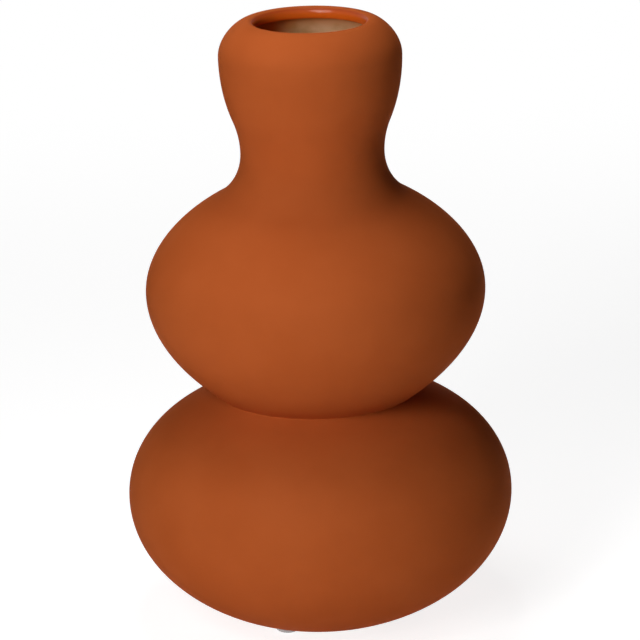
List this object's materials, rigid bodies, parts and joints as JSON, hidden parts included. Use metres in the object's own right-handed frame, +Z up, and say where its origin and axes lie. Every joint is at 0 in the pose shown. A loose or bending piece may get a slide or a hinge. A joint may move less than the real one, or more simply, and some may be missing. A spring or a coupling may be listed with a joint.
{
  "type": "gourd vase",
  "caption": "Hollow ceramic gourd vase: a wide lower lobe, a creased middle lobe and a waisted neck under a small rounded mouth, standing on clear rubber bumpers.",
  "frame": {"origin": "on the table, in the plane of the three bumper soles, under the middle of the vase", "axes": "+Z up along the vase's axis; -Y is the side that the picture shows; +X is its right"},
  "size_m": [0.14, 0.14, 0.2229],
  "materials": {
    "ceramic_body": "matte burnt-orange coat outside, glossy orange over the rim, tan glaze inside",
    "clear_rubber": "clear soft polyurethane",
    "adhesive": "pale clear pressure-sensitive film"
  },
  "bodies": {
    "root": {"vase_body": "ceramic_body", "left_front_bumper": "clear_rubber", "left_front_adhesive_disc": "adhesive", "right_bumper": "clear_rubber", "right_adhesive_disc": "adhesive", "rear_bumper": "clear_rubber", "rear_adhesive_disc": "adhesive"}
  },
  "joints": []
}
